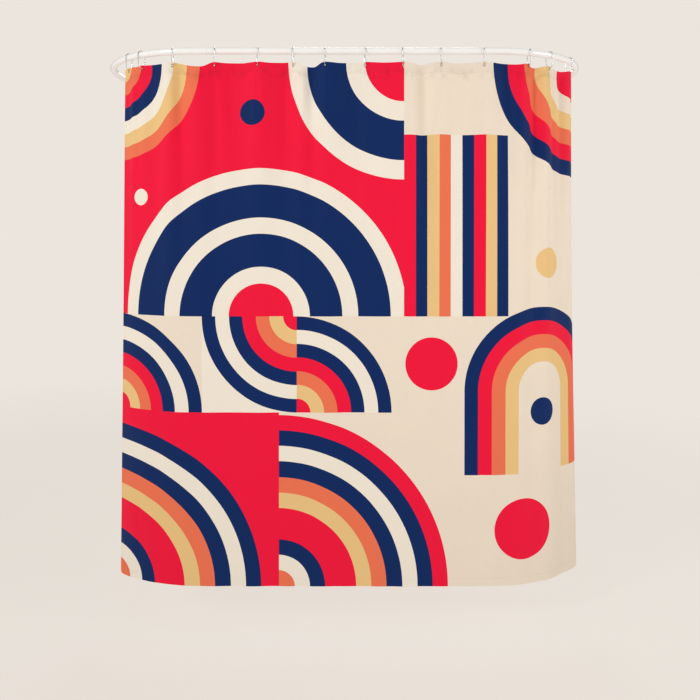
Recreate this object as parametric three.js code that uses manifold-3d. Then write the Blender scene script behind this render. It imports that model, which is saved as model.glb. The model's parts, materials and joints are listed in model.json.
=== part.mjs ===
// A shower curtain on a U-shaped rod: fourteen wire rings carry a printed cloth panel,
// and the rod's two legs run back to flanges on one wall.
// Millimetres, +Z up. The origin is the middle of the left flange's wall face: +X runs to the
// right flange, -Y comes away from the wall towards the front tube.

import * as THREE from 'three';
import * as BufferGeometryUtils from 'three/addons/utils/BufferGeometryUtils.js';
import Module from 'manifold-3d';

const wasm = await Module();
wasm.setup();

// ---------------------------------------------------------------- driving dimensions
const gap = 0.3; // left between pieces that touch
const rodRadius = 12.5;
const rodWall = 1.5;
const frontHalf = 536; // middle of the rod to the start of a bend
const bendRadius = 391;
const bendTail = 46; // straight end of a bend piece, where its sleeve goes
const wallDistance = 760; // front tube's centreline to the wall
const rodSides = 16;
const bendSteps = 16;
const turnedSides = 24; // facets round a bracket or a cover
const smallSides = 12; // facets round a screw or a drilled hole

const sleeveRadius = 10.2;
const sleeveWall = 1.6;
const sleeveLength = 80;

const bracketRadius = 28;
const bracketThickness = 4;
const plugLength = 25;
const coverRadius = 34;
const coverDepth = 17;
const coverWall = 1.2;
const coverSide = 0.45 * coverDepth; // height of the cover's straight side
const coverCrown = 0.85 * coverDepth; // height where its slope meets the nearly flat face
const coverSlope = 6; // how much narrower the cover is there
const coverInset = 0.6; // keeps the wall's thickness across the slope
const screwCircle = 19;
const screwShank = 2;
const screwHead = 4;
const screwHeadHeight = 2.4;
const screwHeadTaper = 0.8; // top of the head over its foot
const screwsPerFlange = 3;

// Distances along the rod's centreline from its middle, left is negative.
const ringStations = [-822, -750, -615, -464, -309.5, -182, -67.6, 75.8, 210.5, 348, 502, 670, 765, 904];
const ringTurns = [10, -8, 12, 9, 12, -9, -6, 8, -9, -12, -11, -9, 8, -10]; // degrees off square
const wireRadius = 1.5;
const ringTopRadius = 16;
const ringFootRadius = 12;
const ringFoot = -47; // height of the wire's centreline at the bottom of a ring
const wireSides = 6;
const wireSteps = 22; // straight pieces round a ring

const clothTop = -37;
const clothHeight = 1880;
const clothThickness = 1.2;
const clothLeft = -850; // side edges, along the rod
const clothRight = 929;
const hemLeftArc = 326; // cloth past the start of each bend, at the hem
const hemRightArc = 405;
const hemLeftRadius = 498; // the corners open out, so the hem bends less than the rod
const hemRightRadius = 464;
const headerHeight = 38; // the double hem at the top, which hangs straight under the rod
const clothRows = 6; // rows of facets below the header
const clothStep = 40; // width of a cloth facet on a bend
const clothFrontStep = 160; // and on the straight front, where wide facets are flat anyway
const buttonholeFlat = 10; // half the width of the flat facet round a buttonhole
const facetSpare = 1; // no other facet edge comes closer to that flat than this

const eyeletHeight = -48.4;
const eyeletInner = 4;
const eyeletOuter = 8;
const eyeletLip = 0.8;
const eyeletWeb = 1.2; // wall of the eyelet inside the cloth's hole
const eyeletSides = 10;
const clothGap = 1.5 * gap; // between the cloth and an eyelet's lips
const drillReach = 20; // long enough to pass through the cloth

const legX = frontHalf + bendRadius;
const legLength = wallDistance - bendRadius - bendTail;

// ---------------------------------------------------------------- materials
function finish(color, roughness, metalness = 0) {
  return new THREE.MeshStandardMaterial({ color, roughness, metalness });
}
const whiteEnamel = () => finish(0xf4f2ee, 0.2);
const zincSteel = () => finish(0xb9bcc0, 0.45, 0.8);
const chromeWire = () => finish(0xd8dadc, 0.12, 1);
const printedCloth = () => finish(0xf0e2d0, 0.8);
const thread = () => finish(0xe4d6c2, 0.85);
const castBracket = () => finish(0xc4c6c8, 0.5, 0.6);

// ---------------------------------------------------------------- the line of the rod
// A place on the rod's centreline, with the unit vectors along it and out of the U.
function onRod(station, radius = bendRadius) {
  const side = Math.sign(station);
  const past = Math.abs(station) - frontHalf;
  if (past <= 0) {
    return {
      point: new THREE.Vector3(station, 0, 0),
      along: new THREE.Vector3(1, 0, 0),
      out: new THREE.Vector3(0, -1, 0),
    };
  }
  const angle = past / radius;
  const sin = Math.sin(angle);
  const cos = Math.cos(angle);
  return {
    point: new THREE.Vector3(side * (frontHalf + radius * sin), radius * (1 - cos), 0),
    along: new THREE.Vector3(cos, side * sin, 0),
    out: new THREE.Vector3(side * sin, -cos, 0),
  };
}

class BendLine extends THREE.Curve {
  constructor(side) {
    super();
    this.side = side;
    this.arc = bendRadius * Math.PI / 2;
    this.total = this.arc + 2 * bendTail;
  }

  getPoint(t, target = new THREE.Vector3()) {
    const travelled = t * this.total;
    const station = frontHalf - bendTail + Math.min(travelled, bendTail + this.arc);
    const beyond = Math.max(travelled - bendTail - this.arc, 0);
    return target.copy(onRod(this.side * station).point).add(new THREE.Vector3(0, beyond, 0));
  }
}

// ---------------------------------------------------------------- shapes used more than once
function circle(radius, sides) {
  const points = [];
  for (let i = 0; i < sides; i += 1) {
    const angle = 2 * Math.PI * i / sides;
    points.push(new THREE.Vector2(radius * Math.cos(angle), radius * Math.sin(angle)));
  }
  return points;
}

// A straight tube along +Y from y = 0.
function straightTube(outer, wall, length) {
  const profile = [
    [outer - wall, 0], [outer, 0], [outer, length], [outer - wall, length], [outer - wall, 0],
  ].map(([r, y]) => new THREE.Vector2(r, y));
  return new THREE.LatheGeometry(profile, rodSides);
}

function solidOf(geometry) {
  const plain = geometry.clone();
  plain.deleteAttribute('normal');
  plain.deleteAttribute('uv');
  const merged = BufferGeometryUtils.mergeVertices(plain, 1e-4);
  return new wasm.Manifold(new wasm.Mesh({
    numProp: 3,
    vertProperties: new Float32Array(merged.attributes.position.array),
    triVerts: new Uint32Array(merged.index.array),
  }));
}

function geometryOf(solid) {
  const mesh = solid.getMesh();
  const geometry = new THREE.BufferGeometry();
  geometry.setAttribute('position', new THREE.BufferAttribute(mesh.vertProperties, 3));
  geometry.setIndex(new THREE.BufferAttribute(mesh.triVerts, 1));
  geometry.computeVertexNormals();
  return geometry;
}

function drilled(geometry, drills) {
  let solid = solidOf(geometry);
  for (const drill of drills) {
    solid = solid.subtract(solidOf(drill));
  }
  return geometryOf(solid);
}

const curtainRod = new THREE.Group(); // its own origin is the middle of the front tube
curtainRod.position.set(legX + gap, -wallDistance, 0);

function place(name, geometry, material, parent = curtainRod) {
  const mesh = new THREE.Mesh(geometry, material);
  mesh.name = name;
  parent.add(mesh);
  return mesh;
}

// ---------------------------------------------------------------- rod
function addFrontTube() {
  const length = 2 * (frontHalf - bendTail);
  const tube = place('front_tube', straightTube(rodRadius, rodWall, length), whiteEnamel());
  tube.rotation.z = -Math.PI / 2;
  tube.position.x = -length / 2;
}

function addBend(name, side) {
  const section = new THREE.Shape(circle(rodRadius, rodSides));
  section.holes.push(new THREE.Path(circle(rodRadius - rodWall, rodSides)));
  const bend = new THREE.ExtrudeGeometry(section, { steps: bendSteps, extrudePath: new BendLine(side) });
  place(name, bend, whiteEnamel()).position.x = side * gap;
}

function addLeg(name, side) {
  const length = legLength - bracketThickness - 2 * gap;
  const leg = place(name, straightTube(rodRadius, rodWall, length), whiteEnamel());
  leg.position.set(side * legX + side * gap, bendRadius + bendTail + gap, 0);
}

function addSleeve(name, x, y, alongRod) {
  const sleeve = place(name, straightTube(sleeveRadius, sleeveWall, sleeveLength), zincSteel());
  if (alongRod) {
    sleeve.rotation.z = -Math.PI / 2;
    sleeve.position.set(x - sleeveLength / 2, y, 0);
  } else {
    sleeve.position.set(x, y - sleeveLength / 2, 0);
  }
}

// ---------------------------------------------------------------- wall flanges
// Everything on a flange is turned so that its own +Y comes out of the wall.
function screwPlaces() {
  const places = [];
  for (let i = 0; i < screwsPerFlange; i += 1) {
    const angle = Math.PI / 2 + 2 * Math.PI * i / screwsPerFlange;
    places.push([screwCircle * Math.cos(angle), screwCircle * Math.sin(angle)]);
  }
  return places;
}

function bracketGeometry() {
  const plug = sleeveRadius;
  const profile = [
    [0, 0], [bracketRadius, 0], [bracketRadius, bracketThickness], [plug, bracketThickness],
    [plug, bracketThickness + plugLength], [0, bracketThickness + plugLength],
  ].map(([r, y]) => new THREE.Vector2(r, y));
  const drills = screwPlaces().map(([x, z]) => {
    const radius = screwShank + gap;
    const drill = new THREE.CylinderGeometry(radius, radius, 3 * bracketThickness, smallSides);
    return drill.translate(x, 0, z);
  });
  return drilled(new THREE.LatheGeometry(profile, turnedSides), drills);
}

function coverGeometry() {
  const hole = rodRadius + 2 * gap;
  const shoulder = coverRadius - coverSlope;
  const inside = coverRadius - coverWall;
  const profile = [
    [inside, gap], [coverRadius, gap], [coverRadius, coverSide], [shoulder, coverCrown],
    [hole, coverDepth], [hole, coverDepth - coverWall],
    [shoulder - coverInset, coverCrown - coverWall],
    [inside, coverSide - coverInset], [inside, gap],
  ].map(([r, y]) => new THREE.Vector2(r, y));
  return new THREE.LatheGeometry(profile, turnedSides);
}

function screwGeometry() {
  const under = bracketThickness + gap;
  const profile = [
    [0, gap], [screwShank, gap], [screwShank, under], [screwHead, under],
    [screwHead * screwHeadTaper, under + screwHeadHeight], [0, under + screwHeadHeight],
  ].map(([r, y]) => new THREE.Vector2(r, y));
  return new THREE.LatheGeometry(profile, smallSides);
}

function addFlange(sideName, side) {
  const flange = new THREE.Group();
  flange.position.set(side * legX + side * gap, wallDistance, 0);
  flange.rotation.x = Math.PI;
  curtainRod.add(flange);
  place(`${sideName}_wall_bracket`, bracketGeometry(), castBracket(), flange);
  place(`${sideName}_flange_cover`, coverGeometry(), whiteEnamel(), flange);
  screwPlaces().forEach(([x, z], i) => {
    const screw = place(`${sideName}_bracket_screw_${i + 1}`, screwGeometry(), zincSteel(), flange);
    screw.position.set(x, 0, z);
  });
}

// ---------------------------------------------------------------- rings
// The ring's outline is two arcs joined by straight sides, widest round the rod.
function ringGeometry() {
  const topCentre = rodRadius + gap + wireRadius - ringTopRadius;
  const footCentre = ringFoot + ringFootRadius;
  const lean = Math.asin((ringTopRadius - ringFootRadius) / (topCentre - footCentre));
  const outline = new THREE.Path();
  outline.absarc(0, topCentre, ringTopRadius, -lean, Math.PI + lean, false);
  outline.absarc(0, footCentre, ringFootRadius, Math.PI + lean, 2 * Math.PI - lean, false);
  outline.closePath();
  const ring = new THREE.TorusGeometry(1, wireRadius, wireSides, wireSteps);
  const position = ring.attributes.position;
  for (let j = 0; j <= wireSides; j += 1) {
    for (let i = 0; i <= wireSteps; i += 1) {
      const t = (i % wireSteps) / wireSteps;
      const centre = outline.getPointAt(t);
      const along = outline.getTangentAt(t);
      const turn = 2 * Math.PI * j / wireSides;
      const outward = wireRadius * Math.cos(turn);
      const x = centre.x + along.y * outward;
      const z = centre.y - along.x * outward;
      position.setXYZ(j * (wireSteps + 1) + i, x, -wireRadius * Math.sin(turn), z);
    }
  }
  return ring;
}

function eyeletGeometry() {
  const half = clothThickness / 2 + clothGap;
  const web = eyeletInner + eyeletWeb;
  const profile = [
    [eyeletInner, -half - eyeletLip], [eyeletOuter, -half - eyeletLip], [eyeletOuter, -half],
    [web, -half], [web, half], [eyeletOuter, half], [eyeletOuter, half + eyeletLip],
    [eyeletInner, half + eyeletLip], [eyeletInner, -half - eyeletLip],
  ].map(([r, y]) => new THREE.Vector2(r, y));
  return new THREE.LatheGeometry(profile, eyeletSides);
}

function addRings() {
  ringStations.forEach((station, i) => {
    const number = String(i + 1).padStart(2, '0');
    const at = onRod(station);
    const heading = Math.atan2(at.along.y, at.along.x);
    const hanger = new THREE.Group();
    hanger.position.copy(at.point);
    hanger.rotation.z = heading;
    curtainRod.add(hanger);
    const ring = place(`ring_${number}`, ringGeometry(), chromeWire(), hanger);
    ring.rotation.z = Math.PI / 2 + THREE.MathUtils.degToRad(ringTurns[i]);
    const eyelet = place(`buttonhole_${number}`, eyeletGeometry(), thread(), hanger);
    eyelet.position.z = eyeletHeight;
  });
}

// ---------------------------------------------------------------- cloth panel
// The hem keeps the cloth's full width, so past each bend it runs a little wider than the top.
function clothLine(station) {
  const top = onRod(station);
  const past = Math.abs(station) - frontHalf;
  if (past <= 0) {
    return { top, hem: top };
  }
  const left = station < 0;
  const topArc = Math.abs(left ? clothLeft : clothRight) - frontHalf;
  const stretch = (left ? hemLeftArc : hemRightArc) / topArc;
  const hemStation = Math.sign(station) * (frontHalf + past * stretch);
  return { top, hem: onRod(hemStation, left ? hemLeftRadius : hemRightRadius) };
}

function clothStations() {
  const stations = [];
  const bays = [[clothLeft, -frontHalf, clothStep], [-frontHalf, frontHalf, clothFrontStep],
    [frontHalf, clothRight, clothStep]];
  for (const [from, to, step] of bays) {
    const count = Math.round((to - from) / step);
    for (let i = 0; i < count; i += 1) {
      stations.push(from + (to - from) * i / count);
    }
  }
  stations.push(clothRight);
  const clear = stations.filter(
    (station) => ringStations.every((ring) => Math.abs(station - ring) > buttonholeFlat + facetSpare),
  );
  const flats = ringStations.flatMap((ring) => [ring - buttonholeFlat, ring + buttonholeFlat]);
  return [...clear, ...flats].sort((a, b) => a - b);
}

// A box bent to the cloth's line: its width runs along the rod and its depth is the thickness.
function clothGeometry() {
  const stations = clothStations();
  const columns = stations.length - 1;
  const rows = clothRows + 1;
  const panel = new THREE.BoxGeometry(columns, clothThickness, rows, columns, 1, rows);
  const position = panel.attributes.position;
  for (let i = 0; i < position.count; i += 1) {
    const column = Math.round(position.getX(i) + columns / 2);
    const row = rows / 2 - position.getZ(i);
    const line = clothLine(stations[column]);
    const down = Math.max(0, Math.round(row) - 1) / clothRows;
    const fall = Math.min(1, Math.round(row)) * headerHeight + (clothHeight - headerHeight) * down;
    const out = line.top.out.clone().lerp(line.hem.out, down).normalize();
    const spot = line.top.point.clone().lerp(line.hem.point, down);
    spot.addScaledVector(out, -position.getY(i));
    position.setXYZ(i, spot.x, spot.y, clothTop - fall);
  }
  const drills = ringStations.map((station) => {
    const at = onRod(station);
    const radius = eyeletInner + eyeletWeb + 2 * gap;
    const drill = new THREE.CylinderGeometry(radius, radius, drillReach, smallSides);
    drill.rotateZ(Math.atan2(at.along.y, at.along.x));
    return drill.translate(at.point.x, at.point.y, eyeletHeight);
  });
  return drilled(panel, drills);
}

// ---------------------------------------------------------------- assembly
addFrontTube();
addBend('left_bend', -1);
addBend('right_bend', 1);
addLeg('left_leg', -1);
addLeg('right_leg', 1);
addSleeve('left_front_sleeve', -(frontHalf - bendTail), 0, true);
addSleeve('right_front_sleeve', frontHalf - bendTail, 0, true);
addSleeve('left_leg_sleeve', -legX - gap, bendRadius + bendTail, false);
addSleeve('right_leg_sleeve', legX + gap, bendRadius + bendTail, false);
addFlange('left', -1);
addFlange('right', 1);
addRings();
place('curtain_panel', clothGeometry(), printedCloth());

const showerCurtain = new THREE.Group();
showerCurtain.add(curtainRod);

export default showerCurtain;
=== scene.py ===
# %% [markdown]
# # A printed shower curtain on a curved rod
# The CAD frame gives the rod, the rings and a plain shell for the cloth. This script loads that
# frame, keeps what has the right shape, and makes the cloth, its stitching, the rings, the
# enamelled tube and the flange covers again as finished pieces. The rings, the tube and the
# covers ride on their CAD bodies; the cloth and its stitching stay where they hang.

# %% Load the frame
import json
import math
import time
import bmesh
import bpy
import numpy as np
from mathutils import Matrix, Vector
from mathutils.kdtree import KDTree


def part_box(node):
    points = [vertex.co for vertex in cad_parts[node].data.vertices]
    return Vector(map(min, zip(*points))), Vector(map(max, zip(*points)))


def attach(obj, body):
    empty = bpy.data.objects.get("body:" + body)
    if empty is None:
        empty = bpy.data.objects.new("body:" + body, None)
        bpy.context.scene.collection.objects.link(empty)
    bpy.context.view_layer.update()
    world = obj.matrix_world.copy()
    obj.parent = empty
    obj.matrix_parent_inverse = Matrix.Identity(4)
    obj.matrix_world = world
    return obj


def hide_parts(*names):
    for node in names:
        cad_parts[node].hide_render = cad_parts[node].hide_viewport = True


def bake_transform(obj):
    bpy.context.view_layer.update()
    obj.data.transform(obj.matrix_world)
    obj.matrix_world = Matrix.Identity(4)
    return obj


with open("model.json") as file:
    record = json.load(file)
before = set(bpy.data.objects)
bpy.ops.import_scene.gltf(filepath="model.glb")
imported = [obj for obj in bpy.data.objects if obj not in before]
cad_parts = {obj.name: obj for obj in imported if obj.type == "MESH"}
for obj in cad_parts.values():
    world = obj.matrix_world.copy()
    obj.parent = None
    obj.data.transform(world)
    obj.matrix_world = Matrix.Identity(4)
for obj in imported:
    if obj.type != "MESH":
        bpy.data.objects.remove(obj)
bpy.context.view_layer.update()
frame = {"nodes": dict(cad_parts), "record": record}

# %% [markdown]
# ## Where the rod runs
# Every place on the curtain is a distance along the rod's centreline, the station, counted from
# the middle of the front tube. The sizes come from the frame: the front tube's box gives the
# tube's height and front, and the rings' boxes give their stations.

# %% The line of the rod
tube_low, tube_high = (Vector(corner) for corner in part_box("front_tube"))
bend_low, bend_high = (Vector(corner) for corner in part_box("left_bend"))
ROD_RADIUS = (tube_high.z - tube_low.z) / 2
ROD_MIDDLE = Vector(((tube_low.x + tube_high.x) / 2, (tube_low.y + tube_high.y) / 2, 0.0))
TAIL = 0.046
BEND_RADIUS = bend_high.x - bend_low.x - TAIL - ROD_RADIUS
FRONT_HALF = (tube_high.x - tube_low.x) / 2 + TAIL


def rod_place(station, radius=BEND_RADIUS):
    """The point of the centreline at a station, with the way along it and the way out of the U."""
    side = -1.0 if station < 0 else 1.0
    past = abs(station) - FRONT_HALF
    if past <= 0:
        return ROD_MIDDLE + Vector((station, 0, 0)), Vector((1, 0, 0)), Vector((0, -1, 0))
    angle = past / radius
    sin, cos = math.sin(angle), math.cos(angle)
    point = ROD_MIDDLE + Vector((side * (FRONT_HALF + radius * sin), radius * (1 - cos), 0))
    return point, Vector((cos, side * sin, 0)), Vector((side * sin, -cos, 0))


def station_of(node):
    low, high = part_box(node)
    middle = (Vector(low) + Vector(high)) / 2 - ROD_MIDDLE
    side = -1.0 if middle.x < 0 else 1.0
    past = abs(middle.x) - FRONT_HALF
    if past <= 0:
        return middle.x
    return side * (FRONT_HALF + BEND_RADIUS * math.atan2(past, BEND_RADIUS - middle.y))


RING_NODES = sorted(name for name in frame["nodes"] if name.startswith("ring_"))
HOLE_NODES = sorted(name for name in frame["nodes"] if name.startswith("buttonhole_"))
STATIONS = [station_of(name) for name in HOLE_NODES]
print("bend radius", round(BEND_RADIUS, 4), "ring stations", [round(s, 3) for s in STATIONS])

# %% [markdown]
# ## Camera
# A view square to the cloth, from a little above the middle of its height. The lens is shifted
# rather than tipped, so the side edges of the cloth stay upright in the view.

# %% Camera
CAMERA_PLACE = ROD_MIDDLE + Vector((0.022, -2.714, -0.656))
CAMERA_PITCH = math.radians(-0.36)
bpy.ops.object.camera_add(location=CAMERA_PLACE, rotation=(math.pi / 2 + CAMERA_PITCH, 0, 0))
camera = bpy.context.object
camera.name = "camera"
camera.data.lens = 38.96
camera.data.sensor_width = 36.0
camera.data.shift_y = -0.158
bpy.context.scene.camera = camera
print("camera at", [round(v, 3) for v in camera.location])


# %% [markdown]
# ## Small helpers
# Everything here is made with Blender's own operators, as by hand. `only` selects one object,
# because an operator acts on all that is selected. `settle` puts a finished piece's place into
# its mesh, so that its object sits at the origin as a CAD node's does.

# %% Helpers
def only(piece):
    if bpy.context.object and bpy.context.object.mode != "OBJECT":
        bpy.ops.object.mode_set(mode="OBJECT")
    bpy.ops.object.select_all(action="DESELECT")
    piece.select_set(True)
    bpy.context.view_layer.objects.active = piece


def settle(piece):
    only(piece)
    bpy.ops.object.transform_apply(location=True, rotation=True, scale=True)
    return piece


def smooth(piece, angle=35.0):
    only(piece)
    bpy.ops.object.shade_smooth_by_angle(angle=math.radians(angle))
    return piece


def join(pieces, name):
    bpy.ops.object.select_all(action="DESELECT")
    for piece in pieces:
        piece.select_set(True)
    bpy.context.view_layer.objects.active = pieces[0]
    if len(pieces) > 1:
        bpy.ops.object.join()
    pieces[0].name = name
    return pieces[0]


def count(piece):
    return sum(len(p.vertices) - 2 for p in piece.data.polygons)


# %% [markdown]
# ## Materials: a short way to write node trees
# Each finish is a small node tree. `Tree` adds nodes and joins them, so that a finish reads as
# one line for each step. Values that are the same all over are typed into the shader's sockets.

# %% Node helper
class Tree:
    def __init__(self, name):
        self.material = bpy.data.materials.new(name)
        self.material.use_nodes = True
        self.nodes = self.material.node_tree.nodes
        self.links = self.material.node_tree.links
        self.shader = self.nodes["Principled BSDF"]

    def add(self, kind, inputs=None, **settings):
        node = self.nodes.new(kind)
        for key, value in settings.items():
            setattr(node, key, value)
        for key, value in (inputs or {}).items():
            self.feed(node, key, value)
        return node

    def feed(self, node, key, value):
        socket = node.inputs[key]
        if isinstance(value, bpy.types.NodeSocket):
            self.links.new(value, socket)
        elif isinstance(value, bpy.types.Node):
            self.links.new(value.outputs[0], socket)
        else:
            socket.default_value = value

    def math(self, operation, *values, clamp=False):
        node = self.add("ShaderNodeMath", operation=operation, use_clamp=clamp)
        for i, value in enumerate(values):
            self.feed(node, i, value)
        return node.outputs[0]

    def mix(self, amount, first, second, blend="MIX"):
        node = self.add("ShaderNodeMix", data_type="RGBA", blend_type=blend)
        self.feed(node, 0, amount)
        self.feed(node, 6, first)
        self.feed(node, 7, second)
        return node.outputs[2]

    def noise(self, place, scale, detail=2.0):
        return self.add("ShaderNodeTexNoise", {"Vector": place, "Scale": scale, "Detail": detail}).outputs[0]

    def span(self, value, low, high, to_low, to_high):
        node = self.add("ShaderNodeMapRange", {"Value": value, 1: low, 2: high, 3: to_low, 4: to_high})
        return node.outputs[0]

    def set(self, **values):
        for key, value in values.items():
            self.feed(self.shader, key.replace("_", " "), value)

    def bump(self, height, strength, distance):
        inputs = {"Height": height, "Strength": strength, "Distance": distance}
        self.links.new(self.add("ShaderNodeBump", inputs).outputs[0], self.shader.inputs["Normal"])


def linear(red, green, blue):
    """A screen colour of 0 to 255 as the linear colour that a shader takes."""
    parts = []
    for value in (red, green, blue):
        c = value / 255
        parts.append(c / 12.92 if c <= 0.04045 else ((c + 0.055) / 1.055) ** 2.4)
    return (*parts, 1.0)


# %% [markdown]
# ## The print
# The cloth is printed polyester: flat bands of red, navy, orange and yellow on cream. Each shape
# is a distance: how far a point of the flat cloth is from a dot's middle, from an arch or from a
# stripe's edge. A colour ramp with hard steps turns the distance into bands, and a mask lays the
# shape over what is already there. It all reads the cloth's own UV map, in metres of flat cloth,
# so the print follows the fabric.

# %% Colours of the print
RED = linear(245, 15, 60)
NAVY = linear(2, 39, 97)
ORANGE = linear(240, 118, 84)
YELLOW = linear(238, 199, 136)
CREAM = linear(241, 227, 209)
PALE = linear(245, 236, 222)
WIDTH = 1.803
HEIGHT = 1.880
MID = 0.97  # foot of the red field
TILE = 0.345  # one square of the row of quarter rounds
FIELD_RIGHT = 1.08
HEADER = 0.038  # the doubled top, which lets less light through


class Print:
    """Lays shapes on the flat cloth, x from the left edge and y from the hem, in metres."""

    def __init__(self, tree):
        self.tree = tree
        uv = tree.add("ShaderNodeUVMap", uv_map="flat")
        parts = tree.add("ShaderNodeSeparateXYZ", {0: uv})
        self.x, self.y = parts.outputs[0], parts.outputs[1]
        self.colour = CREAM

    def lay(self, mask, colour):
        self.colour = self.tree.mix(mask, self.colour, colour)

    def inside(self, value, low, high):
        above = self.tree.math("GREATER_THAN", value, low)
        below = self.tree.math("LESS_THAN", value, high)
        return self.tree.math("MULTIPLY", above, below)

    def box(self, left, right, low, high):
        return self.tree.math("MULTIPLY", self.inside(self.x, left, right), self.inside(self.y, low, high))

    def reach(self, x, y, arch=False):
        """Distance from a point, or with arch from the upright line below it."""
        across = self.tree.math("SUBTRACT", self.x, x)
        up = self.tree.math("SUBTRACT", self.y, y)
        if arch:
            up = self.tree.math("MAXIMUM", up, 0.0)
        return self.tree.math("SQRT", self.tree.math(
            "ADD", self.tree.math("MULTIPLY", across, across), self.tree.math("MULTIPLY", up, up)))

    def bands(self, distance, size, colours):
        """Equal bands of colour from distance 0 to size."""
        ramp = self.tree.add("ShaderNodeValToRGB", {0: self.tree.math("DIVIDE", distance, size)})
        ramp.color_ramp.interpolation = "CONSTANT"
        steps = ramp.color_ramp.elements
        for i, colour in enumerate(colours):
            step = steps[i] if i < 2 else steps.new(i / len(colours))
            step.position = i / len(colours)
            step.color = colour
        return ramp.outputs[0]

    def rings(self, x, y, size, colours, mask=None, arch=False):
        distance = self.reach(x, y, arch)
        here = self.tree.math("LESS_THAN", distance, size)
        if mask is not None:
            here = self.tree.math("MULTIPLY", here, mask)
        self.lay(here, self.bands(distance, size, colours))

    def stripes(self, left, right, low, high, colours, upright=True):
        along = self.tree.math("SUBTRACT", self.x if upright else self.y, left if upright else low)
        size = (right - left) if upright else (high - low)
        self.lay(self.box(left, right, low, high), self.bands(along, size, colours))

    def dot(self, x, y, radius, colour):
        self.lay(self.tree.math("LESS_THAN", self.reach(x, y), radius), colour)


def geometric_print(tree):
    art = Print(tree)
    field = art.box(0.0, FIELD_RIGHT, MID, HEIGHT)
    # red field at the upper left, with one great half round in cream and navy
    art.lay(field, RED)
    art.rings(0.56, MID, 0.53, [RED, RED, PALE, NAVY, NAVY, PALE, NAVY, NAVY, PALE], field)
    art.rings(0.0, HEIGHT, 0.34, [YELLOW, ORANGE, RED, NAVY, PALE, YELLOW, ORANGE], field)
    art.rings(FIELD_RIGHT, HEIGHT, 0.42, [RED, RED, PALE, NAVY, NAVY, PALE], field)
    art.dot(0.53, 1.70, 0.046, NAVY)
    art.dot(0.10, 1.40, 0.030, PALE)
    # a block of upright stripes, with rounds above it and a dot beside it
    art.stripes(FIELD_RIGHT, 1.46, MID, 1.62,
                [RED, NAVY, YELLOW, ORANGE, PALE, NAVY, RED, YELLOW, NAVY])
    art.rings(WIDTH, HEIGHT, 0.40, [RED, RED, CREAM, YELLOW, ORANGE, RED, NAVY])
    art.dot(1.63, 1.16, 0.056, YELLOW)
    # a row of quarter rounds, turned one way and then the other
    low = MID - TILE
    for i in range(3):
        left = i * TILE
        corner_x, corner_y = (left, low) if i % 2 == 0 else (left + TILE, MID)
        art.lay(art.box(left, left + TILE, low, MID), CREAM if i % 2 == 0 else PALE)
        art.rings(corner_x, corner_y, TILE, [RED, YELLOW, ORANGE, RED, NAVY, PALE, NAVY],
                  art.box(left, left + TILE, low, MID))
    art.dot(1.18, MID - 0.17, 0.095, RED)
    # arches at the right
    arch_field = art.box(1.30, WIDTH, 0.40, 1.01)
    art.rings(1.60, 0.70, 0.30, [CREAM, CREAM, YELLOW, ORANGE, RED, NAVY], arch_field, True)
    # two great quarter rounds fill the lower left
    for left in (0.0, low):
        art.lay(art.box(left, left + low, 0.0, low), RED if left == 0.0 else CREAM)
        art.rings(left, 0.0, low * 0.985,
                  [ORANGE, PALE, NAVY, RED, RED, YELLOW, ORANGE, NAVY, PALE, NAVY, RED],
                  art.box(left, left + low, 0.0, low))
    # a plain lower right with one dot, and another inside the arches
    art.dot(1.52, 0.20, 0.110, RED)
    art.dot(1.60, 0.62, 0.050, NAVY)
    return art


def weave(tree, place, pitch=0.0006):
    """Plain weave: two wave trains at right angles, as height."""
    parts = tree.add("ShaderNodeSeparateXYZ", {0: place})
    turn = 2 * math.pi / pitch
    warp = tree.math("SINE", tree.math("MULTIPLY", parts.outputs[0], turn))
    weft = tree.math("SINE", tree.math("MULTIPLY", parts.outputs[1], turn))
    return tree.math("MULTIPLY", warp, weft)


SLUB_GRAIN = (30, 700, 1)  # threads run on along the weft
# The gathers at the header seam are also painted as shade: darker patches within this reach of the seam, in
# a noise of this grain.
GATHER_SHADE_GRAIN = (34, 22, 1)
GATHER_SHADE_REACH = 0.032  # how far from the header seam its gathers show


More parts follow.
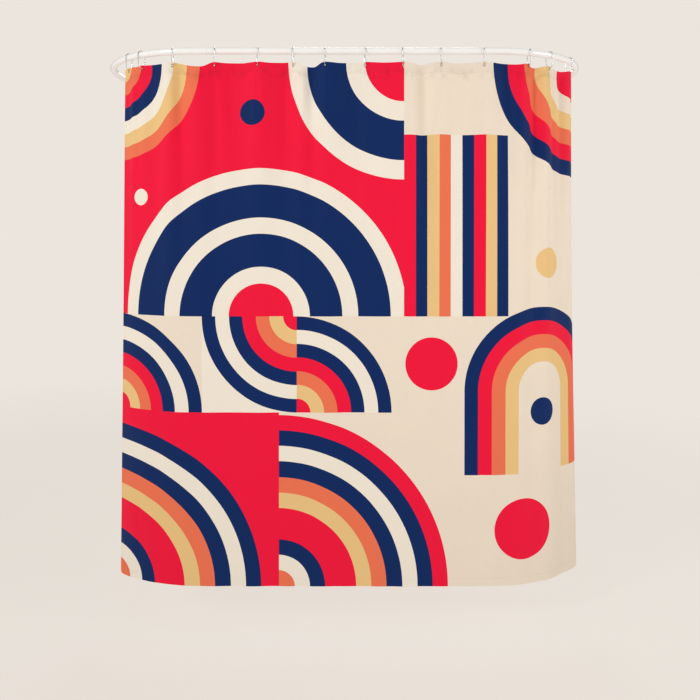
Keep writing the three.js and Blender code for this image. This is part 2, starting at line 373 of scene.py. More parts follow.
def cloth_finish(name, strength, darker=1.0):
    tree = Tree(name)
    art = geometric_print(tree)
    uv = tree.add("ShaderNodeUVMap", uv_map="flat").outputs[0]
    slub = tree.noise(tree.add("ShaderNodeMapping", {0: uv, "Scale": SLUB_GRAIN}).outputs[0], 1.0)
    cloud = tree.noise(uv, 9.0, 3.0)
    tone = tree.math("MULTIPLY", tree.span(slub, 0, 1, 0.955, 1.03), tree.span(cloud, 0, 1, 0.97, 1.02))
    # Painted shade: the doubled header is drawn 3.5% darker, for the light it lets through less.
    doubled = tree.math("GREATER_THAN", art.y, HEIGHT - HEADER)
    tone = tree.math("MULTIPLY", tone, tree.span(doubled, 0, 1, darker, darker * 0.965))
    # Painted shade: dark patches in the gathers near the header seam, up to 14% darker. The grey below
    # carries this painted shade as well as the cloth's own random tone.
    gather_place = tree.add("ShaderNodeMapping", {0: uv, "Scale": GATHER_SHADE_GRAIN}).outputs[0]
    gather_shade_noise = tree.noise(gather_place, 1.0, 2.0)
    from_seam = tree.math("ABSOLUTE", tree.math("SUBTRACT", art.y, HEIGHT - HEADER))
    near_seam = tree.span(from_seam, 0.0, GATHER_SHADE_REACH, 1.0, 0.0)
    drawn = tree.math("MULTIPLY", tree.span(gather_shade_noise, 0.45, 0.65, 0.0, 1.0), near_seam)
    tone = tree.math("MULTIPLY", tone, tree.span(drawn, 0, 1, 1.0, 0.86))
    inked = tree.mix(1.0 - strength, art.colour, PALE)
    tone_and_shade_grey = tree.add("ShaderNodeCombineColor", {0: tone, 1: tone, 2: tone}).outputs[0]
    tree.set(Base_Color=tree.mix(1.0, inked, tone_and_shade_grey, "MULTIPLY"),
             Roughness=tree.span(slub, 0, 1, 0.62, 0.78),
             Sheen_Weight=0.04, Sheen_Roughness=0.5, Specular_IOR_Level=0.14)
    height = tree.math("ADD", tree.math("MULTIPLY", weave(tree, uv), 0.5), tree.math("MULTIPLY", slub, 0.8))
    tree.bump(height, 0.25, 0.0002)
    return tree.material


cloth_front = cloth_finish("printed_polyester", 1.0)
cloth_back = cloth_finish("printed_polyester_back", 0.72)
print("print made of", len(cloth_front.node_tree.nodes), "nodes")

# %% [markdown]
# ## The cloth
# The panel is cut 1803 by 1880 mm. It hangs almost flat: the rings hold it a little narrower
# than it is cut, so the spare cloth shows as shallow scallops under the rod and as a few soft
# folds that die out towards the hem. A grid is laid along the rod's line with a column through
# each buttonhole and a row at the stitching, then Cloth simulation lets it hang from the rings.

# %% Grid of the cloth
TOP = Vector(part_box("curtain_panel")[1]).z
HOLE_DROP = TOP - (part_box(HOLE_NODES[5])[0][2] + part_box(HOLE_NODES[5])[1][2]) / 2
EDGE_LEFT, EDGE_RIGHT = -0.850, 0.929
HEM_LEFT_ARC, HEM_LEFT_RADIUS = 0.326, 0.498
HEM_RIGHT_ARC, HEM_RIGHT_RADIUS = 0.405, 0.464
COLUMN = 0.0120
ROW = 0.0270


def columns():
    marks = [EDGE_LEFT] + STATIONS + [EDGE_RIGHT]
    line = []
    for start, end in zip(marks, marks[1:]):
        steps = max(2, round((end - start) / COLUMN))
        line += [start + (end - start) * i / steps for i in range(steps)]
    return line + [EDGE_RIGHT]


def rows():
    head = [0.0, HOLE_DROP, (HOLE_DROP + HEADER) / 2, HEADER]
    steps = round((HEIGHT - HEADER) / ROW)
    return head + [HEADER + (HEIGHT - HEADER) * (i + 1) / steps for i in range(steps)]


COLUMNS = columns()
ROWS = rows()
print("cloth grid", len(COLUMNS), "by", len(ROWS))


def hem_place(station):
    """The hem keeps its full width, so its corners open out past the bends."""
    past = abs(station) - FRONT_HALF
    if past <= 0:
        return rod_place(station)
    left = station < 0
    top_arc = (-EDGE_LEFT if left else EDGE_RIGHT) - FRONT_HALF
    arc = past * (HEM_LEFT_ARC if left else HEM_RIGHT_ARC) / top_arc
    reach = FRONT_HALF + arc
    return rod_place(-reach if left else reach, HEM_LEFT_RADIUS if left else HEM_RIGHT_RADIUS)


# A fold is (station, depth, half width, how far down it runs), out of the cloth's line.
FOLDS = [
    (-0.786, 0.010, 0.015, 1.1), (-0.700, -0.012, 0.035, 1.5), (-0.630, 0.014, 0.024, 1.6),
    (-0.590, -0.012, 0.022, 1.2), (-0.525, 0.012, 0.040, 1.4), (-0.40, -0.011, 0.050, 1.7),
    (-0.30, 0.013, 0.036, 1.5), (-0.215, -0.012, 0.034, 1.6), (-0.150, 0.012, 0.020, 1.1),
    (-0.115, -0.010, 0.018, 0.9), (-0.045, 0.011, 0.032, 1.5), (0.03, -0.010, 0.040, 1.8),
    (0.13, 0.011, 0.040, 1.4), (0.235, 0.010, 0.030, 1.2), (0.285, -0.014, 0.020, 1.4),
    (0.345, 0.011, 0.032, 1.3), (0.43, -0.009, 0.040, 1.7), (0.51, 0.010, 0.035, 1.4),
    (0.585, -0.011, 0.036, 1.6), (0.64, 0.014, 0.022, 1.6), (0.70, -0.015, 0.022, 1.5),
    (0.735, 0.013, 0.018, 1.3), (0.790, -0.010, 0.016, 1.6), (0.835, -0.014, 0.020, 1.9),
    (0.880, 0.012, 0.020, 1.6),
]
# How far the top edge dips below its rings: the doubled header is stiff, so it runs straight
# from one kink to the next. Each pair is (station, dip).
DIPS = [
    (-0.850, 0.003), (-0.822, 0.001), (-0.788, 0.002), (-0.776, 0.007), (-0.764, 0.0), (-0.72, 0.002),
    (-0.66, 0.003), (-0.615, 0.0), (-0.585, 0.006), (-0.545, 0.016), (-0.505, 0.018), (-0.470, 0.0),
    (-0.43, 0.003), (-0.36, 0.0045), (-0.3095, 0.0), (-0.27, 0.0035), (-0.21, 0.002), (-0.182, 0.0),
    (-0.160, 0.003), (-0.146, 0.018), (-0.100, 0.019), (-0.084, 0.003), (-0.0676, 0.0),
    (-0.02, 0.004), (0.04, 0.003), (0.0758, 0.0), (0.14, 0.004), (0.2105, 0.0), (0.25, 0.004),
    (0.275, 0.012), (0.305, 0.004), (0.348, 0.0), (0.40, 0.005), (0.46, 0.003), (0.502, 0.0),
    (0.56, 0.005), (0.63, 0.008), (0.670, 0.0), (0.684, 0.017), (0.72, 0.010), (0.765, 0.0),
    (0.782, 0.001), (0.797, 0.012), (0.85, 0.010), (0.904, 0.0), (0.929, -0.003),
]
DIP_REACH = 0.16  # how far down the cloth a dip is felt
FOLD_DEPTH = 1.3  # how full the folds are


def fold_at(station, down):
    """How far the cloth stands out of its line."""
    out = 0.0
    for middle, depth, half, length in FOLDS:
        drift = (station - middle - 0.018 * down * math.sin(9 * middle)) / (half * (1 + 0.9 * down))
        out += depth * math.exp(-drift * drift) * math.exp(-2.2 * (down / length) ** 1.4)
    return FOLD_DEPTH * out * min(1.0, 0.45 + down / 0.08)


def dip_at(station, down):
    dip = float(np.interp(station, [place for place, _ in DIPS], [depth for _, depth in DIPS]))
    return dip * math.exp(-down / DIP_REACH)


GATHER_HEIGHT = 0.0020
GATHER_WAVES = (118, 83)  # radians to the metre
SEAM_PULL = 0.018  # how far from the seam its gathers reach
EDGE_PULL = 0.10  # and how far down those of the rings do


def pucker_at(station, down):
    """Small gathers drawn up by the header stitching and the rings."""
    short, long = GATHER_WAVES
    ripple = math.sin(station * short + 3 * math.sin(station * 37)) + 0.6 * math.sin(station * long + 1.3)
    near_seam = math.exp(-((down - HEADER) / SEAM_PULL) ** 2) + 0.35 * math.exp(-down / EDGE_PULL)
    patch = 0.35 + 0.65 * math.sin(station * 13 + 2 * math.sin(station * 5)) ** 2
    return GATHER_HEIGHT * ripple * near_seam * patch


def cloth_place(station, down):
    top, _, out_top = rod_place(station)
    hem, _, out_hem = hem_place(station)
    part = max(0.0, down - HEADER) / (HEIGHT - HEADER)
    out = out_top.lerp(out_hem, part).normalized()
    place = top.lerp(hem, part) + out * (fold_at(station, down) + pucker_at(station, down))
    return Vector((place.x, place.y, TOP - down - dip_at(station, down)))


def flat_place(station, down):
    """Where a point of the cloth is on the flat cut, from the left edge and the hem."""
    across = (station - EDGE_LEFT) / (EDGE_RIGHT - EDGE_LEFT) * WIDTH
    return across, HEIGHT - down


def make_cloth_grid():
    bpy.ops.object.select_all(action="DESELECT")
    bpy.ops.mesh.primitive_grid_add(x_subdivisions=len(COLUMNS) - 1, y_subdivisions=len(ROWS) - 1,
                                    size=2, location=(0, 0, 0))
    cloth = bpy.context.object
    cloth.name = "curtain_cloth"
    wide, tall = len(COLUMNS), len(ROWS)
    uv = cloth.data.uv_layers[0]
    uv.name = "flat"
    flat = {}
    for vertex in cloth.data.vertices:
        i = round((vertex.co.x + 1) / 2 * (wide - 1))
        j = round((1 - vertex.co.y) / 2 * (tall - 1))
        flat[vertex.index] = (i, j)
    for loop in cloth.data.loops:
        i, j = flat[loop.vertex_index]
        uv.data[loop.index].uv = flat_place(COLUMNS[i], ROWS[j])
    for vertex in cloth.data.vertices:
        i, j = flat[vertex.index]
        vertex.co = cloth_place(COLUMNS[i], ROWS[j])
    return cloth, flat


cloth, grid_of = make_cloth_grid()
print("cloth laid out", count(cloth), "triangles")

# %% Hang the cloth
SIM_FRAMES = 34
PUCKER = 0.012  # spare width at the top, as a share of it
HEADER_HOLD = 0.60  # how firmly the doubled header keeps its shape


def hang(cloth):
    pins = cloth.vertex_groups.new(name="held by rings")
    slack = cloth.vertex_groups.new(name="spare width")
    hole_columns = {min(range(len(COLUMNS)), key=lambda k: abs(COLUMNS[k] - s)) for s in STATIONS}
    for index, (i, j) in grid_of.items():
        past_ends = COLUMNS[i] < STATIONS[0] or COLUMNS[i] > STATIONS[-1]
        if j == 1 and i in hole_columns or j < 2 and past_ends:
            pins.add([index], 1.0, "REPLACE")
        elif j < 4:
            pins.add([index], HEADER_HOLD, "REPLACE")
        slack.add([index], max(0.0, 1.0 - ROWS[j] / 0.9), "REPLACE")
    only(cloth)
    modifier = cloth.modifiers.new("hang", "CLOTH")
    settings = modifier.settings
    settings.quality = 5
    settings.mass = 0.12
    settings.tension_stiffness = 25
    settings.compression_stiffness = 20
    settings.shear_stiffness = 8
    settings.bending_stiffness = 0.6
    settings.air_damping = 6
    settings.tension_damping = 15
    settings.vertex_group_mass = "held by rings"
    settings.pin_stiffness = 1.0
    settings.vertex_group_shrink = "spare width"
    settings.shrink_min = 0.0
    settings.shrink_max = -PUCKER
    modifier.collision_settings.use_collision = False
    modifier.point_cache.frame_start = 1
    modifier.point_cache.frame_end = SIM_FRAMES
    scene = bpy.context.scene
    for step in range(1, SIM_FRAMES + 1):
        scene.frame_set(step)
    bpy.ops.object.modifier_apply(modifier="hang")
    scene.frame_set(1)


started = time.time()
hang(cloth)
low = min(v.co.z for v in cloth.data.vertices)
print("cloth hung: hem at", round(low, 4), "in", round(time.time() - started, 1), "s")

# %% [markdown]
# ## Buttonholes, thickness and hems
# One subdivision rounds the folds. At each buttonhole the middle vertex is deleted and its
# neighbours are set on a circle, so the wire passes through a real hole. Solidify then gives
# the fabric its thickness, with the paler wrong side of the print as the second material. The
# hems are strips of the same cloth laid against the back, as a folded hem is.

# %% Cut the holes and thicken
HOLE_EDGE = 0.0050
HOLE_NARROW = 0.60  # a buttonhole is a slit, narrower than it is tall
THICKNESS = 0.0007
HEM_CLEAR = 0.0002  # between a hem and the cloth it is turned on to


def apply(piece, kind, **settings):
    only(piece)
    modifier = piece.modifiers.new("finish", kind)
    for key, value in settings.items():
        setattr(modifier, key, value)
    bpy.ops.object.modifier_apply(modifier="finish")


cloth.data.materials.append(cloth_front)
cloth.data.materials.append(cloth_back)
apply(cloth, "SUBSURF", levels=1, render_levels=1)
hole_frames = []


def cut_buttonholes(cloth):
    mesh = bmesh.new()
    mesh.from_mesh(cloth.data)
    mesh.normal_update()
    mesh.verts.ensure_lookup_table()
    for station in STATIONS:
        point, along, out = rod_place(station)
        target = Vector((point.x, point.y, TOP - HOLE_DROP))
        middle = min(mesh.verts, key=lambda v: (v.co - target).length_squared)
        normal = middle.normal.copy()
        centre = middle.co.copy()
        rim = {v for face in middle.link_faces for v in face.verts if v is not middle}
        for vertex in rim:
            away = vertex.co - centre
            away -= normal * away.dot(normal)
            reach = away.normalized() * HOLE_EDGE
            vertex.co = centre + Vector((reach.x * HOLE_NARROW, reach.y * HOLE_NARROW, reach.z))
        bmesh.ops.delete(mesh, geom=[middle], context="VERTS")
        mesh.verts.ensure_lookup_table()
        hole_frames.append((centre, normal))
    mesh.to_mesh(cloth.data)
    mesh.free()


cut_buttonholes(cloth)


def hem_strip(name, keep):
    """A strip of the cloth, laid against its back. keep says which flat places it covers."""
    only(cloth)
    bpy.ops.object.duplicate()
    strip = bpy.context.object
    strip.name = name
    mesh = bmesh.new()
    mesh.from_mesh(strip.data)
    mesh.normal_update()
    uv = mesh.loops.layers.uv["flat"]
    outside = []
    for face in mesh.faces:
        places = [loop[uv].uv for loop in face.loops]
        x = sum(place.x for place in places) / len(places)
        y = sum(place.y for place in places) / len(places)
        if not keep(x, y):
            outside.append(face)
    bmesh.ops.delete(mesh, geom=outside, context="FACES")
    for vertex in mesh.verts:
        vertex.co -= vertex.normal * (THICKNESS + HEM_CLEAR)
    mesh.to_mesh(strip.data)
    mesh.free()
    strip.data.materials.clear()
    strip.data.materials.append(cloth_front)
    apply(strip, "SOLIDIFY", thickness=THICKNESS, offset=-1.0)
    return smooth(strip, 60)


SIDE_HEM = 0.014
FOOT_HEM = 0.030
header_hem = hem_strip("header_hem", lambda x, y: y > HEIGHT - HEADER)
foot_hem = hem_strip("foot_hem", lambda x, y: y < FOOT_HEM)
side_hems = hem_strip("side_hems", lambda x, y: FOOT_HEM < y < HEIGHT - HEADER
                      and (x < SIDE_HEM or x > WIDTH - SIDE_HEM))
apply(cloth, "SOLIDIFY", thickness=THICKNESS, offset=-1.0, material_offset=1, use_rim=True)
smooth(cloth, 60)
print("cloth", count(cloth), "triangles, header hem", count(header_hem))

# %% [markdown]
# ## Stitching
# Lockstitch shows as a row of short threads, about five to the two centimetres, a little sunk
# in the cloth. One stitch is a small stretched sphere, copied along each seam on both faces and
# turned to the cloth under it. The thread is dyed to the cloth, so it takes the print's colours.

# %% Stitch rows
STITCH = 0.0042
STITCH_PITCH = 0.0062
THREAD_HALF_WIDTH, THREAD_HALF_HEIGHT = 0.00040, 0.00032
FRONT_LIFT = 0.00012  # a stitch's middle above the front of the cloth
BACK_LIFT = -(2 * THICKNESS + 0.0003)  # and behind the hem at the back
LOOK_AHEAD = 0.004  # along the seam, to find which way it runs
tonal_thread = cloth_finish("tonal_thread", 0.95, darker=0.80)


def seam(start, end):
    """Flat places (x from the left, y from the hem) along one straight row."""
    start, end = Vector(start), Vector(end)
    steps = int((end - start).length / STITCH_PITCH)
    return [(start.lerp(end, (k + 0.5) / steps), (end - start).normalized()) for k in range(steps)]


def flat_lookup(piece):
    """Finds places on the hung cloth from flat places, by a tree of its flat coordinates."""
    mesh = piece.data
    uv = mesh.uv_layers["flat"].data
    seen = {}
    for face in mesh.polygons:
        if face.material_index == 0:
            for index in face.loop_indices:
                seen[mesh.loops[index].vertex_index] = tuple(uv[index].uv)
    tree = KDTree(len(seen))
    for vertex, (x, y) in seen.items():
        tree.insert((x, y, 0), vertex)
    tree.balance()

    def find(x, y):
        near = tree.find_n((x, y, 0), 4)
        weights = [1 / (distance + 1e-5) for _, _, distance in near]
        total = sum(weights)
        place = Vector()
        normal = Vector()
        for (_, vertex, _), weight in zip(near, weights):
            place += mesh.vertices[vertex].co * (weight / total)
            normal += mesh.vertices[vertex].normal * (weight / total)
        _, point, face_normal, _ = piece.closest_point_on_mesh(place + normal * 0.0004)
        return point, face_normal
    return find


def stitch_master():
    bpy.ops.object.select_all(action="DESELECT")
    bpy.ops.mesh.primitive_uv_sphere_add(segments=6, ring_count=4, radius=1)
    master = bpy.context.object
    master.scale = (STITCH / 2, THREAD_HALF_WIDTH, THREAD_HALF_HEIGHT)
    return settle(master)


def lay_stitches(rows):
    find = flat_lookup(cloth)
    master = stitch_master()
    shape = [v.co.copy() for v in master.data.vertices]
    faces = [tuple(p.vertices) for p in master.data.polygons]
    bpy.data.objects.remove(master)
    points, polygons, flats = [], [], []
    for x_y, way in [item for row in rows for item in row]:
        place, normal = find(x_y.x, x_y.y)
        ahead, _ = find(x_y.x + way.x * LOOK_AHEAD, x_y.y + way.y * LOOK_AHEAD)
        along = ahead - place
        along = (along - normal * along.dot(normal)).normalized()
        across = normal.cross(along)
        for lift in (FRONT_LIFT, BACK_LIFT):
            base = len(points)
            middle = place + normal * lift
            points += [middle + along * c.x + across * c.y + normal * c.z for c in shape]
            polygons += [tuple(base + i for i in face) for face in faces]
            flats += [(x_y.x, x_y.y)] * len(shape)
    mesh = bpy.data.meshes.new("hem_stitches")
    mesh.from_pydata(points, [], polygons)
    piece = bpy.data.objects.new("hem_stitches", mesh)
    bpy.context.collection.objects.link(piece)
    uv = mesh.uv_layers.new(name="flat")
    for loop in mesh.loops:
        uv.data[loop.index].uv = flats[loop.vertex_index]
    mesh.materials.append(tonal_thread)
    return smooth(piece, 80)


INSET = 0.002
stitches = lay_stitches([
    seam((INSET, HEIGHT - HEADER + INSET), (WIDTH - INSET, HEIGHT - HEADER + INSET)),
    seam((SIDE_HEM - INSET, FOOT_HEM - INSET), (WIDTH - SIDE_HEM + INSET, FOOT_HEM - INSET)),
    seam((SIDE_HEM - INSET, FOOT_HEM), (SIDE_HEM - INSET, HEIGHT - HEADER)),
    seam((WIDTH - SIDE_HEM + INSET, FOOT_HEM), (WIDTH - SIDE_HEM + INSET, HEIGHT - HEADER)),
])
print("stitches", count(stitches), "triangles")

# %% [markdown]
# ## Bound buttonholes
# Each hole is bound with close radial stitches that wrap its edge from front to back. One loop
# of thread is a flattened torus; a ring of them makes a buttonhole, which is copied to each hole
# and set square to the cloth there.

# %% Buttonholes
LOOPS = 34
LOOP_MIDDLE = 0.0051
LOOP_SIZE = (0.0021, 0.0014, 0.00125)  # out from the hole, along its edge, and through the cloth


def buttonhole_master():
    bpy.ops.object.select_all(action="DESELECT")
    bpy.ops.mesh.primitive_torus_add(major_radius=1.0, minor_radius=0.22, major_segments=10,
                                     minor_segments=5, rotation=(math.pi / 2, 0, 0))
    loop = bpy.context.object
    loop.scale = LOOP_SIZE
    bpy.ops.object.transform_apply(location=True, rotation=True, scale=True)
    loops = [loop]
    loop.data.transform(Matrix.Translation((LOOP_MIDDLE, 0, 0)))
    for k in range(1, LOOPS):
        copy = loop.copy()
        copy.data = loop.data.copy()
        copy.data.transform(Matrix.Rotation(2 * math.pi * k / LOOPS, 4, "Z"))
        bpy.context.collection.objects.link(copy)
        loops.append(copy)
    master = join(loops, "buttonhole_master")
    master.data.transform(Matrix.Diagonal((HOLE_NARROW, 1, 1, 1)))
    return master


def square_to(normal, centre):
    """A matrix that puts +Z on the normal and keeps X level."""
    across = Vector((0, 0, 1)).cross(normal).normalized()
    up = normal.cross(across)
    turn = Matrix((across, up, normal)).transposed().to_4x4()
    return Matrix.Translation(centre) @ turn


buttonhole = buttonhole_master()
buttonholes = []
for number, (centre, normal) in enumerate(hole_frames, start=1):
    piece = buttonhole.copy()
    piece.data = buttonhole.data.copy()
    piece.name = f"bound_buttonhole_{number:02d}"
    bpy.context.collection.objects.link(piece)
    piece.data.transform(square_to(normal, centre - normal * THICKNESS / 2))
    flat_x = (STATIONS[number - 1] - EDGE_LEFT) / (EDGE_RIGHT - EDGE_LEFT) * WIDTH
    uv = piece.data.uv_layers.new(name="flat")
    for loop in piece.data.loops:
        uv.data[loop.index].uv = (flat_x, HEIGHT - HOLE_DROP)
    piece.data.uv_layers.active = uv
    piece.data.materials.clear()
    piece.data.materials.append(tonal_thread)
    buttonholes.append(smooth(piece, 80))
bpy.data.objects.remove(buttonhole)
print("buttonholes", len(buttonholes), "of", count(buttonholes[0]), "triangles")

# %% [markdown]
# ## Metal finishes
# The rod is steel tube under gloss enamel: a clear, slightly wavy reflection with faint orange
# peel. The rings are chromed wire, bright with soft scuffs where they rub. Plated steel and the
# cast brackets sit out of sight, but carry their own grain.

# %% Metal materials
def object_place(tree):
    return tree.add("ShaderNodeTexCoord").outputs["Object"]


def enamel():
    tree = Tree("white_enamel")
    place = object_place(tree)
    peel = tree.noise(place, 420.0, 2.0)
    drift = tree.noise(place, 6.0, 2.0)
    tree.set(Base_Color=tree.mix(drift, linear(253, 252, 251), linear(249, 248, 247)),
             Roughness=tree.span(drift, 0, 1, 0.12, 0.20), Coat_Weight=0.5, Coat_Roughness=0.06,
             Specular_IOR_Level=0.55)
    tree.bump(peel, 0.10, 0.0002)
    return tree.material


def chrome():
    tree = Tree("chrome_wire")
    place = object_place(tree)
    scuff = tree.noise(place, 900.0, 3.0)
    tone = tree.noise(place, 60.0, 2.0)
    tree.set(Base_Color=tree.mix(tone, linear(206, 208, 211), linear(232, 233, 236)), Metallic=1.0,
             Roughness=tree.span(scuff, 0.3, 0.7, 0.10, 0.26))
    tree.bump(scuff, 0.06, 0.0001)
    return tree.material


def plated(name, tone, rough):
    tree = Tree(name)
    place = object_place(tree)
    spangle = tree.add("ShaderNodeTexVoronoi", {"Vector": place, "Scale": 260.0}).outputs["Color"]
    grain = tree.noise(place, 700.0, 4.0)
    flake = tree.mix(0.12, tone, spangle, "SOFT_LIGHT")
    tree.set(Base_Color=flake, Metallic=0.9, Roughness=tree.span(grain, 0, 1, rough, rough + 0.2))
    tree.bump(grain, 0.2, 0.0002)
    return tree.material


white_enamel = enamel()
chrome_wire = chrome()
zinc_steel = plated("zinc_steel", linear(178, 180, 184), 0.32)
cast_bracket = plated("cast_bracket", linear(170, 170, 170), 0.45)

# %% [markdown]
# ## Rings
# A ring is one length of wire bent to two arcs with straight sides and closed by a crimped
# sleeve at the back. The path is a curve with a round bevel, converted to a mesh; it is modelled
# once, in the plane of its own outline, and each copy is turned to its ring's place in the frame.

# %% Rings
WIRE = 0.0015
RING_TOP = 0.0160
RING_FOOT = 0.0120
ring_box_low, ring_box_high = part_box(RING_NODES[5])
RING_HIGH = ring_box_high[2] - WIRE
RING_LOW = ring_box_low[2] + WIRE


def arc(centre, radius, start, end, steps):
    for k in range(steps + 1):
        angle = start + (end - start) * k / steps
        yield Vector((centre[0] + radius * math.cos(angle), 0, centre[1] + radius * math.sin(angle)))


def ring_outline():
    top, foot = RING_HIGH - RING_TOP, RING_LOW + RING_FOOT
    lean = math.asin((RING_TOP - RING_FOOT) / (top - foot))
    points = list(arc((0, top), RING_TOP, -lean, math.pi + lean, 26))
    return points + list(arc((0, foot), RING_FOOT, math.pi + lean, 2 * math.pi - lean, 18))


def wire(points, radius, name, closed=False, resolution=5):
    """A round wire or tube along the points."""
    bpy.ops.object.select_all(action="DESELECT")
    bpy.ops.curve.primitive_nurbs_path_add()
    path = bpy.context.object
    path.name = name
    path.data.splines.clear()
    spline = path.data.splines.new("POLY")
    spline.points.add(len(points) - 1)
    for point, place in zip(spline.points, points):
        point.co = (*place, 1.0)
    spline.use_cyclic_u = closed
    path.data.dimensions = "3D"
    path.data.bevel_depth = radius
    path.data.bevel_resolution = resolution
    path.data.use_fill_caps = not closed
    bpy.ops.object.convert(target="MESH")
    piece = bpy.context.object
    piece.name = name
    return smooth(piece, 50)


def crimp_sleeve():
    """A short barrel over the joint of the wire, with rounded ends."""
    bpy.ops.object.select_all(action="DESELECT")
    top, foot = RING_HIGH - RING_TOP, RING_LOW + RING_FOOT
    x = (RING_TOP + RING_FOOT) / 2 - 0.0002
    bpy.ops.mesh.primitive_cylinder_add(vertices=20, radius=WIRE * 1.35, depth=0.009,
                                        location=(-x, 0, (top + foot) / 2 - 0.004),
                                        rotation=(0, -math.asin((RING_TOP - RING_FOOT) / (top - foot)), 0))
    sleeve = bpy.context.object
    settle(sleeve)
    apply(sleeve, "BEVEL", width=0.0004, segments=3, limit_method="ANGLE")
    return smooth(sleeve)


ring_master = join([wire(ring_outline(), WIRE, "ring_master", closed=True), crimp_sleeve()], "ring_master")


def plane_across(node):
    """The level direction square to a CAD ring's plane, from its own vertices."""
    places = np.array([v.co for v in bpy.data.objects[node].data.vertices])
    places = places[:, :2] - places[:, :2].mean(axis=0)
    values, vectors = np.linalg.eigh(places.T @ places)
    return Vector((vectors[0, 0], vectors[1, 0], 0)).normalized()


rings = []
for number, (node, station) in enumerate(zip(RING_NODES, STATIONS), start=1):
    point, along, out = rod_place(station)
    square = plane_across(node)
    if square.dot(along) < 0:
        square = -square
    front = Vector((square.y, -square.x, 0))
    turn = Matrix((front, square, Vector((0, 0, 1)))).transposed().to_4x4()
    piece = ring_master.copy()
    piece.data = ring_master.data.copy()
    piece.name = f"wire_ring_{number:02d}"
    bpy.context.collection.objects.link(piece)
    piece.data.transform(Matrix.Translation(point) @ turn)
    piece.data.materials.clear()
    piece.data.materials.append(chrome_wire)
    rings.append(smooth(piece, 50))
bpy.data.objects.remove(ring_master)
print("rings", len(rings), "of", count(rings[0]), "triangles")

# %% [markdown]
# ## Rod and flange covers
# The tube is drawn as round bar along the same line as the CAD tube, fine enough to be smooth in
# close-up. A flange cover is a turned cup: its outline is spun once round the leg.

# %% Rod
JOINT_GAP = 0.0003
COVER_WALL = 0.0012
COVER_PLAY = 0.0006  # between a cover and the leg it slides on


def tube_points(start, end, spacing=0.012):
    steps = max(2, round(abs(end - start) / spacing))
    return [rod_place(start + (end - start) * k / steps)[0] for k in range(steps + 1)]


def bend_piece(name, side):
    quarter = FRONT_HALF + BEND_RADIUS * math.pi / 2
    points = [rod_place(side * (FRONT_HALF - TAIL))[0]]
    points += tube_points(side * FRONT_HALF, side * quarter)
    points.append(points[-1] + Vector((0, TAIL, 0)))
    points = [point + Vector((side * JOINT_GAP, 0, 0)) for point in points]
    return wire(points, ROD_RADIUS, name, resolution=14)


def straight_piece(name, node, axis):
    low, high = (Vector(corner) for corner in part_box(node))
    middle = (low + high) / 2
    start, end = middle.copy(), middle.copy()
    start[axis], end[axis] = low[axis], high[axis]
    return wire([start, middle, end], ROD_RADIUS, name, resolution=14)


rod_pieces = {
    "front_tube": straight_piece("enamelled_front_tube", "front_tube", 0),
    "left_bend": bend_piece("enamelled_left_bend", -1),
    "right_bend": bend_piece("enamelled_right_bend", 1),
    "left_leg": straight_piece("enamelled_left_leg", "left_leg", 1),
    "right_leg": straight_piece("enamelled_right_leg", "right_leg", 1),
}


def flange_cover(name, node):
    low, high = (Vector(corner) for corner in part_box(node))
    radius, depth = (high.x - low.x) / 2, high.y - low.y
    bore = ROD_RADIUS + COVER_PLAY
    outline = [(radius - COVER_WALL, 0), (radius, 0), (radius, depth * 0.42), (radius * 0.97, depth * 0.56),
               (radius * 0.88, depth * 0.74), (radius * 0.72, depth * 0.88), (radius * 0.52, depth * 0.96),
               (bore, depth), (bore, depth - COVER_WALL), (radius * 0.80, depth * 0.72),
               (radius - COVER_WALL, depth * 0.4), (radius - COVER_WALL, 0)]
    mesh = bpy.data.meshes.new(name)
    mesh.from_pydata([(r, -t, 0) for r, t in outline], [(i, i + 1) for i in range(len(outline) - 1)], [])
    cover = bpy.data.objects.new(name, mesh)
    bpy.context.collection.objects.link(cover)
    apply(cover, "SCREW", axis="Y", steps=72, render_steps=72, use_merge_vertices=True)
    only(cover)
    bpy.ops.object.mode_set(mode="EDIT")
    bpy.ops.mesh.select_all(action="SELECT")
    bpy.ops.mesh.remove_doubles(threshold=0.00001)
    bpy.ops.mesh.normals_make_consistent(inside=False)
    bpy.ops.object.mode_set(mode="OBJECT")
    cover.data.transform(Matrix.Translation(((low.x + high.x) / 2, high.y, (low.z + high.z) / 2)))
    return smooth(cover, 40)


rod_pieces["left_flange_cover"] = flange_cover("turned_left_cover", "left_flange_cover")
rod_pieces["right_flange_cover"] = flange_cover("turned_right_cover", "right_flange_cover")
for node, piece in rod_pieces.items():
    piece.data.materials.clear()
    piece.data.materials.append(white_enamel)
print("rod pieces", len(rod_pieces))

# %% [markdown]
# ## Riding on the frame
# The rod pieces, the rings and the buttonholes are hung on the body each moves with, and the CAD
# nodes they stand for are hidden. The cloth and all that is sewn to it, with the second and third
# buttonholes, stay where they hang, in world space.

# %% Bodies and slots
NODE_BODY = {node: body for body, nodes in frame["record"]["behaviour"]["bodies"].items() for node in nodes}
for node, piece in rod_pieces.items():
    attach(piece, "rod")
    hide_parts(node)
for node, piece in zip(RING_NODES, rings):
    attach(piece, NODE_BODY[node])
    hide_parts(node)
for node, piece in zip(HOLE_NODES, buttonholes):
    if NODE_BODY[node] in ("second_ring", "third_ring"):
        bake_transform(piece)
    else:
        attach(piece, NODE_BODY[node])
    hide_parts(node)
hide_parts("curtain_panel")
sewn = [cloth, header_hem, foot_hem, side_hems, stitches]
for piece in sewn:
    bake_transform(piece)
for node in frame["nodes"]:
    finish = {"sleeve": zinc_steel, "screw": zinc_steel, "bracket": cast_bracket}
    for word, material in finish.items():
        if word in node and node in bpy.data.objects:
            slots = bpy.data.objects[node].data.materials
            slots.clear()
            slots.append(material)
            break

# %% [markdown]
# ## Stage
# A pale floor that turns into the plain backdrop, a soft key light from high on the left, a weak
# one from the right and one from behind, so that the folds read without hard shadows.

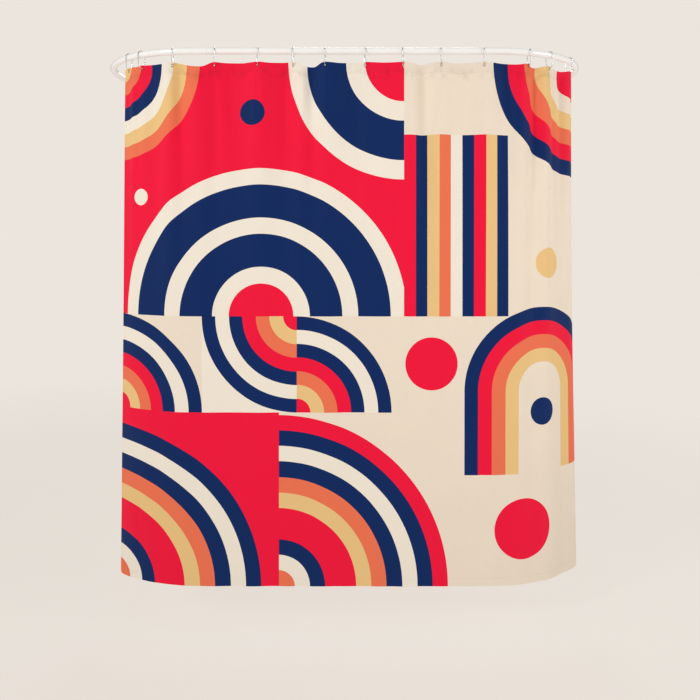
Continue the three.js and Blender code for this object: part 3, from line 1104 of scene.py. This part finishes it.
# %% Floor and lights
FLOOR = -2.10
FLOOR_RADIUS = 30
FADE_START, FADE_END = 1.0, 5.0  # from the origin, where the floor turns into the backdrop
SEEN = linear(236, 229, 221)  # the plain backdrop
bpy.ops.object.select_all(action="DESELECT")
bpy.ops.mesh.primitive_circle_add(vertices=96, radius=FLOOR_RADIUS, fill_type="NGON",
                                  location=(0.93, -0.7, FLOOR))
floor = settle(bpy.context.object)
floor.name = "floor"
paper = Tree("pale_floor")
paper_place = object_place(paper)
from_middle = paper.add("ShaderNodeVectorMath", {0: paper_place}, operation="LENGTH").outputs["Value"]
faded = paper.span(from_middle, FADE_START, FADE_END, 0.0, 1.0)
grain = paper.mix(paper.noise(paper_place, 3.0), linear(152, 148, 143), linear(148, 144, 138))
paper.set(Base_Color=paper.mix(faded, grain, linear(0, 0, 0)),
          Roughness=0.9, Specular_IOR_Level=0.0, Emission_Color=SEEN,
          Emission_Strength=paper.span(faded, 0, 1, 0.68, 1.0))
floor.data.materials.append(paper.material)


def softbox(name, place, target, size, power, spread):
    bpy.ops.object.light_add(type="AREA", location=place)
    light = bpy.context.object
    light.name = name
    light.data.shape = "RECTANGLE"
    light.data.size, light.data.size_y = size
    light.data.energy = power
    light.data.spread = math.radians(spread)
    light.rotation_euler = (Vector(target) - Vector(place)).to_track_quat("-Z", "Y").to_euler()
    return light


MIDDLE = ROD_MIDDLE + Vector((0, 0, -0.95))
softbox("key", MIDDLE + Vector((-5.6, -5.6, 4.0)), MIDDLE + Vector((0, 0, 0.45)),
        size=(1.8, 2.2), power=18, spread=42)
softbox("fill", MIDDLE + Vector((4.0, -1.3, 1.2)), MIDDLE + Vector((0.5, 0, 0.2)),
        size=(1.6, 1.6), power=8, spread=70)
softbox("behind", MIDDLE + Vector((0.3, 3.6, 2.2)), MIDDLE + Vector((0, 0, 0.2)),
        size=(1.6, 1.6), power=8, spread=70)
world = bpy.data.worlds.new("studio")
bpy.context.scene.world = world
world.use_nodes = True
room = world.node_tree.nodes["Background"]
room.inputs["Color"].default_value = linear(238, 234, 229)
room.inputs["Strength"].default_value = 0.58
seen = world.node_tree.nodes.new("ShaderNodeBackground")
seen.inputs["Color"].default_value = SEEN
which = world.node_tree.nodes.new("ShaderNodeMixShader")
ray = world.node_tree.nodes.new("ShaderNodeLightPath")
world.node_tree.links.new(ray.outputs["Is Camera Ray"], which.inputs[0])
world.node_tree.links.new(room.outputs[0], which.inputs[1])
world.node_tree.links.new(seen.outputs[0], which.inputs[2])
world.node_tree.links.new(which.outputs[0], world.node_tree.nodes["World Output"].inputs["Surface"])
bpy.context.scene.view_settings.view_transform = "Standard"
